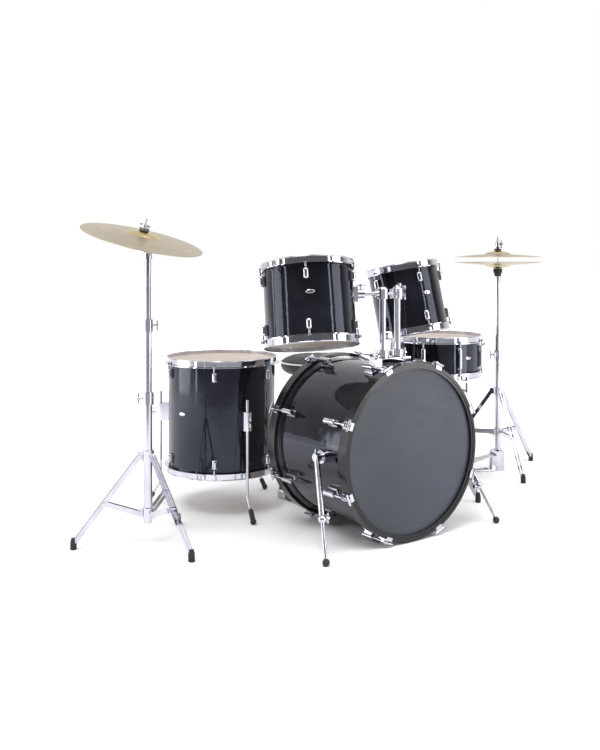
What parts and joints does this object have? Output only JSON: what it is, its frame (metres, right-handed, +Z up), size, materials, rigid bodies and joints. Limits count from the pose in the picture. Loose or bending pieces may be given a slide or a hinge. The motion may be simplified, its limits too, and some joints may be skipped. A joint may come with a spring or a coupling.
{
  "type": "acoustic drum kit",
  "caption": "Black lacquered acoustic drum kit with chrome hardware, bass drum, rack toms, floor tom, snare, hi-hat, crash cymbal, pedal and throne.",
  "frame": {"origin": "on the floor under the rear edge of the bass drum's batter hoop, on the underside of the bass pedal's plate", "axes": "+Z up; -Y towards the audience, along the bass drum's axis; the drummer sits at +Y; +X to the snare and hi-hat side"},
  "size_m": [2.2627, 1.1873, 1.0821],
  "materials": {
    "black_lacquer": "high gloss black wrap over a ply shell",
    "black_hoop": "gloss black lacquer on a maple hoop",
    "front_head": "satin dark grey-blue film",
    "clear_head": "coated film, slightly translucent",
    "chrome": "polished chrome plate",
    "steel_wire": "bare steel wire",
    "pedal_metal": "cast, lightly textured",
    "bronze": "lathed and lacquered bronze",
    "felt": "pressed wool felt",
    "vinyl": "black vinyl with light piping",
    "black_steel": "satin black paint",
    "rubber": "moulded black rubber"
  },
  "bodies": {
    "kit": {"bass_drum_shell": "black_lacquer", "bass_drum_front_head": "front_head", "bass_drum_batter_head": "clear_head", "bass_drum_hoops": "black_hoop", "bass_drum_claws": "chrome", "bass_drum_lugs": "chrome", "bass_drum_brackets": "chrome", "floor_tom_shell": "black_lacquer", "floor_tom_heads": "clear_head", "floor_tom_hoops": "chrome", "floor_tom_lugs": "chrome", "crash_stand_tripod": "chrome", "hihat_tripod": "chrome", "hihat_pedal_frame": "chrome", "snare_stand_tripod": "chrome", "bass_pedal_frame": "chrome", "throne_tripod": "chrome", "rubber_feet": "rubber"},
    "left_spur": {"left_spur": "chrome"},
    "right_spur": {"right_spur": "chrome"},
    "left_post": {"left_tom_post": "chrome"},
    "left_arm": {"left_tom_arm": "chrome"},
    "left_tom": {"left_tom_shell": "black_lacquer", "left_tom_heads": "clear_head", "left_tom_hoops": "chrome", "left_tom_lugs": "chrome"},
    "right_post": {"right_tom_post": "chrome"},
    "right_arm": {"right_tom_arm": "chrome"},
    "right_tom": {"right_tom_shell": "black_lacquer", "right_tom_heads": "clear_head", "right_tom_hoops": "chrome", "right_tom_lugs": "chrome"},
    "floor_leg_1": {"floor_tom_leg_1": "chrome"},
    "floor_leg_2": {"floor_tom_leg_2": "chrome"},
    "floor_leg_3": {"floor_tom_leg_3": "chrome"},
    "snare_tube": {"snare_stand_upper_tube": "chrome"},
    "snare": {"snare_basket": "chrome", "snare_shell": "black_lacquer", "snare_heads": "clear_head", "snare_hoops": "chrome", "snare_lugs": "chrome", "snare_strainer": "chrome", "snare_wires": "steel_wire"},
    "strainer_lever": {"snare_strainer_lever": "chrome"},
    "crash_middle": {"crash_stand_middle_tube": "chrome"},
    "crash_upper": {"crash_stand_upper_tube": "chrome"},
    "crash_tilter": {"crash_tilter": "chrome"},
    "crash_felts": {"crash_felts": "felt"},
    "crash_cymbal": {"crash_cymbal": "bronze"},
    "crash_wing_nut": {"crash_wing_nut": "chrome"},
    "hihat_upper": {"hihat_upper_tube": "chrome", "hihat_bottom_cymbal": "bronze"},
    "hihat_rod": {"hihat_pull_rod": "chrome", "hihat_clutch": "chrome", "hihat_top_cymbal": "bronze"},
    "hihat_footboard": {"hihat_footboard": "pedal_metal"},
    "bass_footboard": {"bass_pedal_footboard": "pedal_metal"},
    "beater": {"bass_pedal_beater": "felt"},
    "throne_seat": {"throne_seat": "vinyl", "throne_seat_plate": "black_steel"}
  },
  "joints": [
    {"name": "left_spur_fold", "type": "hinge", "parent": "kit", "child": "left_spur", "pos_m": [-0.3174, -0.306, 0.3031], "axis": [1, 0, 0], "range_deg": [0, 110]},
    {"name": "right_spur_fold", "type": "hinge", "parent": "kit", "child": "right_spur", "pos_m": [0.3174, -0.306, 0.3031], "axis": [1, 0, 0], "range_deg": [0, 110]},
    {"name": "left_post_height", "type": "slide", "parent": "kit", "child": "left_post", "axis": [0, 0, 1], "range_m": [-0.02, 0.05]},
    {"name": "left_arm_swivel", "type": "hinge", "parent": "left_post", "child": "left_arm", "pos_m": [-0.034, -0.31, 0.812], "axis": [0, 0, 1], "range_deg": [-12, 12]},
    {"name": "left_tom_tilt", "type": "hinge", "parent": "left_arm", "child": "left_tom", "pos_m": [-0.034, -0.31, 0.83], "axis": [-0.9319, 0.3628, 0], "range_deg": [-12, 20]},
    {"name": "right_post_height", "type": "slide", "parent": "kit", "child": "right_post", "axis": [0, 0, 1], "range_m": [-0.02, 0.05]},
    {"name": "right_arm_swivel", "type": "hinge", "parent": "right_post", "child": "right_arm", "pos_m": [0.034, -0.31, 0.812], "axis": [0, 0, 1], "range_deg": [-12, 12]},
    {"name": "right_tom_tilt", "type": "hinge", "parent": "right_arm", "child": "right_tom", "pos_m": [0.034, -0.31, 0.83], "axis": [0.803, 0.596, 0], "range_deg": [-20, 12]},
    {"name": "floor_leg_1_slide", "type": "slide", "parent": "kit", "child": "floor_leg_1", "axis": [0, 0, -1], "range_m": [0, 0.1]},
    {"name": "floor_leg_2_slide", "type": "slide", "parent": "kit", "child": "floor_leg_2", "axis": [0, 0, -1], "range_m": [0, 0.1]},
    {"name": "floor_leg_3_slide", "type": "slide", "parent": "kit", "child": "floor_leg_3", "axis": [0, 0, -1], "range_m": [0, 0.1]},
    {"name": "snare_height", "type": "slide", "parent": "kit", "child": "snare_tube", "axis": [0, 0, 1], "range_m": [-0.03, 0.08]},
    {"name": "snare_tilt", "type": "hinge", "parent": "snare_tube", "child": "snare", "pos_m": [0.545, 0.018, 0.412], "axis": [1, 0, 0], "range_deg": [-8, 8]},
    {"name": "strainer_throw", "type": "hinge", "parent": "snare", "child": "strainer_lever", "pos_m": [0.69578, -0.09562, 0.54585], "axis": [0.6018, 0.7986, 0], "range_deg": [0, 80]},
    {"name": "crash_middle_height", "type": "slide", "parent": "kit", "child": "crash_middle", "axis": [0, 0, 1], "range_m": [-0.1, 0.12]},
    {"name": "crash_upper_height", "type": "slide", "parent": "crash_middle", "child": "crash_upper", "axis": [0, 0, 1], "range_m": [-0.12, 0.1]},
    {"name": "crash_boom_tilt", "type": "hinge", "parent": "crash_upper", "child": "crash_tilter", "pos_m": [-0.76498, 0.06476, 0.985], "axis": [0.9245, 0.3811, 0], "range_deg": [-45, 45]},
    {"name": "crash_rock", "type": "hinge", "parent": "crash_tilter", "child": "crash_felts", "pos_m": [-0.75874, 0.04962, 1.04064], "axis": [0.9245, 0.3811, 0], "range_deg": [-4, 4], "stiffness_Nm_per_rad": 12},
    {"name": "crash_spin", "type": "hinge", "parent": "crash_felts", "child": "crash_cymbal", "pos_m": [-0.75874, 0.04962, 1.04064], "axis": [0.1076, -0.261, 0.9593], "continuous": true},
    {"name": "crash_nut_turn", "type": "hinge", "parent": "crash_tilter", "child": "crash_wing_nut", "pos_m": [-0.75874, 0.04962, 1.04064], "axis": [0.1076, -0.261, 0.9593], "continuous": true},
    {"name": "hihat_height", "type": "slide", "parent": "kit", "child": "hihat_upper", "axis": [0, 0, 1], "range_m": [-0.08, 0.02]},
    {"name": "hihat_pedal", "type": "hinge", "parent": "kit", "child": "hihat_footboard", "pos_m": [0.7848, 0.20561, 0.018], "axis": [-0.342, -0.9397, 0], "range_deg": [-4.5, 0], "stiffness_Nm_per_rad": 8, "springref_deg": 34.38},
    {"name": "hihat_close", "type": "slide", "parent": "kit", "child": "hihat_rod", "axis": [0, 0, 1], "range_m": [-0.02, 0]},
    {"name": "bass_pedal", "type": "hinge", "parent": "kit", "child": "bass_footboard", "pos_m": [0, 0.273, 0.018], "axis": [-1, 0, 0], "range_deg": [-9, 0], "stiffness_Nm_per_rad": 4, "springref_deg": 28.65},
    {"name": "beater_swing", "type": "hinge", "parent": "kit", "child": "beater", "pos_m": [0, 0.0345, 0.186], "axis": [1, 0, 0], "range_deg": [0, 46]},
    {"name": "throne_spin", "type": "hinge", "parent": "kit", "child": "throne_seat", "pos_m": [0.296, 0.472, 0.529], "axis": [0, 0, 1], "continuous": true}
  ],
  "couplings": [
    {"joint": "hihat_close", "follows": "hihat_pedal", "m_per_rad": 0.25337},
    {"joint": "beater_swing", "follows": "bass_pedal", "ratio": -5.1}
  ]
}
